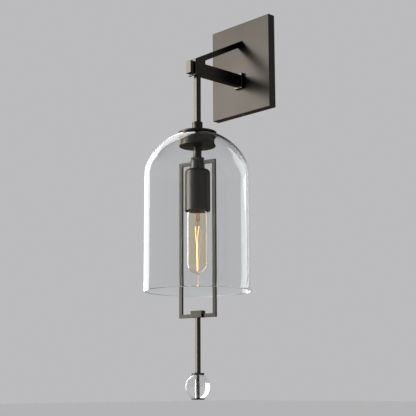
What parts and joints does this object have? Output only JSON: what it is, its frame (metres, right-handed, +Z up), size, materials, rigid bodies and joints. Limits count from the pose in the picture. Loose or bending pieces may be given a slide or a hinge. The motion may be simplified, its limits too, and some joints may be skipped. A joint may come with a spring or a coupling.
{
  "type": "wall sconce",
  "caption": "Wall sconce with a braced arm, a pendant glass dome, a tubular lamp inside a turning rectangular frame, and a crystal ball below.",
  "frame": {"origin": "centre of the wall strap's screw pattern, on the wall plane", "axes": "+Z up, +Y into the wall, +X to the right as seen from the room"},
  "size_m": [0.167, 0.1955, 0.6235],
  "materials": {
    "bronze": "satin dark gunmetal bronze with fine brushing",
    "zinc": "zinc-plated steel",
    "brass": "satin brass",
    "clear_glass": "clear blown glass",
    "lamp_glass": "light amber tinted glass",
    "crystal": "polished clear crystal",
    "gasket": "matt black rubber",
    "porcelain": "white glaze",
    "vitrite": "black glass insulator",
    "solder": "dull solder",
    "filament": "glowing filament",
    "lead": "copper lead",
    "wire_black": "matt black insulation",
    "wire_white": "matt white insulation",
    "wire_green": "matt green insulation",
    "connector": "matt orange plastic",
    "ground_green": "green passivated steel"
  },
  "bodies": {
    "fixture": {"backplate": "bronze", "wall_strap": "zinc", "set_screws": "zinc", "ground_screw": "ground_green", "arm_bar": "bronze", "brace": "bronze", "brace_screw": "zinc", "front_collar": "bronze", "plate_collar": "bronze", "arm_nipple": "zinc", "arm_washer": "zinc", "arm_nut": "zinc", "stem": "bronze", "coupler": "bronze", "main_nipple": "zinc", "cap": "bronze", "upper_gasket": "gasket", "shade": "clear_glass", "lower_gasket": "gasket", "clamp_ring": "bronze", "sleeve": "bronze", "socket_cup": "bronze", "socket_nut": "zinc", "bridge": "zinc", "bridge_screws": "zinc", "lampholder": "porcelain", "screw_shell": "brass", "centre_contact": "brass", "terminal_screws": "brass", "line_wire": "wire_black", "neutral_wire": "wire_white", "ground_wire": "wire_green", "wire_nuts": "connector"},
    "shade_nut": {"shade_nut": "bronze"},
    "lock_nut": {"lock_nut": "bronze"},
    "frame": {"hub": "bronze", "top_bars": "bronze", "side_bars": "bronze", "bottom_bars": "bronze", "foot_block": "bronze", "drop_rod": "bronze", "ball_cap": "bronze"},
    "ball": {"crystal_ball": "crystal"},
    "end_disc": {"end_disc": "bronze"},
    "lamp_button": {"lamp_contact": "solder"},
    "lamp": {"lamp_insulator": "vitrite", "lamp_shell": "brass", "lamp_glass": "lamp_glass", "lamp_mount": "clear_glass", "lead_wires": "lead", "filament": "filament", "filament_supports": "lead"}
  },
  "joints": [
    {"name": "frame_turn", "type": "hinge", "parent": "fixture", "child": "frame", "pos_m": [0, -0.112, -0.18], "axis": [0, 0, 1], "continuous": true},
    {"name": "ball_turn", "type": "hinge", "parent": "frame", "child": "ball", "pos_m": [0, -0.112, -0.525], "axis": [0, 0, 1], "continuous": true},
    {"name": "end_disc_turn", "type": "hinge", "parent": "frame", "child": "end_disc", "pos_m": [0, -0.112, -0.543], "axis": [0, 0, 1], "continuous": true},
    {"name": "lock_nut_turn", "type": "hinge", "parent": "fixture", "child": "lock_nut", "pos_m": [0, -0.112, -0.1715], "axis": [0, 0, 1], "continuous": true},
    {"name": "shade_nut_turn", "type": "hinge", "parent": "fixture", "child": "shade_nut", "pos_m": [0, -0.112, -0.1455], "axis": [0, 0, 1], "continuous": true},
    {"name": "lamp_out", "type": "slide", "parent": "fixture", "child": "lamp_button", "axis": [0, 0, 1], "range_m": [-0.026, 0]},
    {"name": "lamp_turn", "type": "hinge", "parent": "lamp_button", "child": "lamp", "pos_m": [0, -0.112, -0.23], "axis": [0, 0, 1], "range_deg": [-2600, 0]}
  ],
  "couplings": [
    {"joint": "lamp_turn", "follows": "lamp_out", "rad_per_m": 1730.9}
  ]
}
